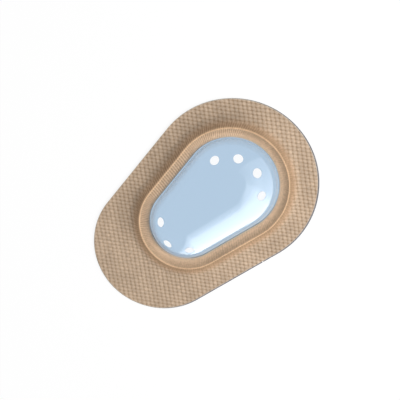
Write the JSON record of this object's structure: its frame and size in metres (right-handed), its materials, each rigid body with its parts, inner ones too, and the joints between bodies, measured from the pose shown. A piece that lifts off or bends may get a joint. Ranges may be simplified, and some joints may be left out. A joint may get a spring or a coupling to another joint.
{
  "type": "adhesive eye patch",
  "caption": "Adhesive eye patch: a skin-coloured woven plaster holds a clear, pale blue vented dome over the eye, on a slit release liner.",
  "frame": {"origin": "middle of the underside, where the patch lies on the skin", "axes": "+Z away from the skin, +X along the patch towards its wide end"},
  "size_m": [0.0944, 0.0636, 0.013],
  "materials": {
    "fabric": "coarse stretch weave, skin-coloured",
    "tinted_plastic": "clear thermoformed sheet, pale blue, glossy",
    "adhesive": "off-white, slightly tacky",
    "liner_film": "smoke-grey siliconised film, satin"
  },
  "bodies": {
    "root": {"woven_plaster": "fabric", "dome_shield": "tinted_plastic", "adhesive_layer": "adhesive", "liner_wide_half": "liner_film", "liner_narrow_half": "liner_film"}
  },
  "joints": []
}
